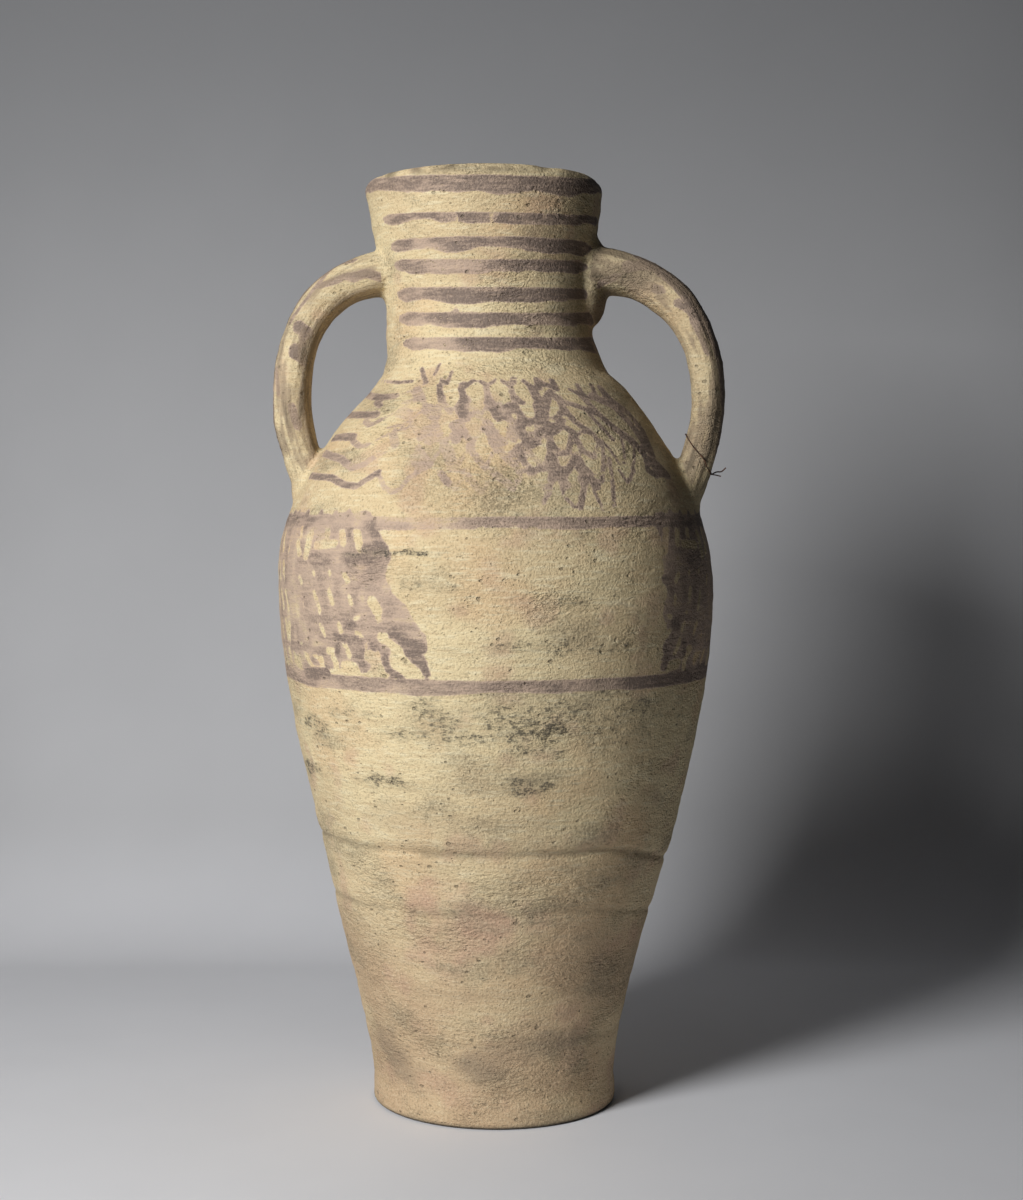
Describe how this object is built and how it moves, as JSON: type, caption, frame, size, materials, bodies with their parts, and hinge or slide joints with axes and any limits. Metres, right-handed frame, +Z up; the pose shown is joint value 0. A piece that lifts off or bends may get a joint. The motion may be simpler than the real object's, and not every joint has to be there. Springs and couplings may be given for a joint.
{
  "type": "two-handled storage jar",
  "caption": "Tall egg-shaped storage jar of buff clay with a flat foot, wide neck, flared rim, two loop handles and worn purple-brown painted bands.",
  "frame": {"origin": "centre of the flat underside", "axes": "+Z up through the mouth, -Y the painted front with a handle on each side, +X towards the handle that has the wire round its foot"},
  "size_m": [0.3036, 0.2936, 0.62],
  "materials": {
    "clay": "matt unglazed buff slip, painted in purplish brown, worn and stained",
    "wire": "dull dark oxidised thin wire"
  },
  "bodies": {
    "root": {"jar": "clay", "tie_wire": "wire"}
  },
  "joints": []
}
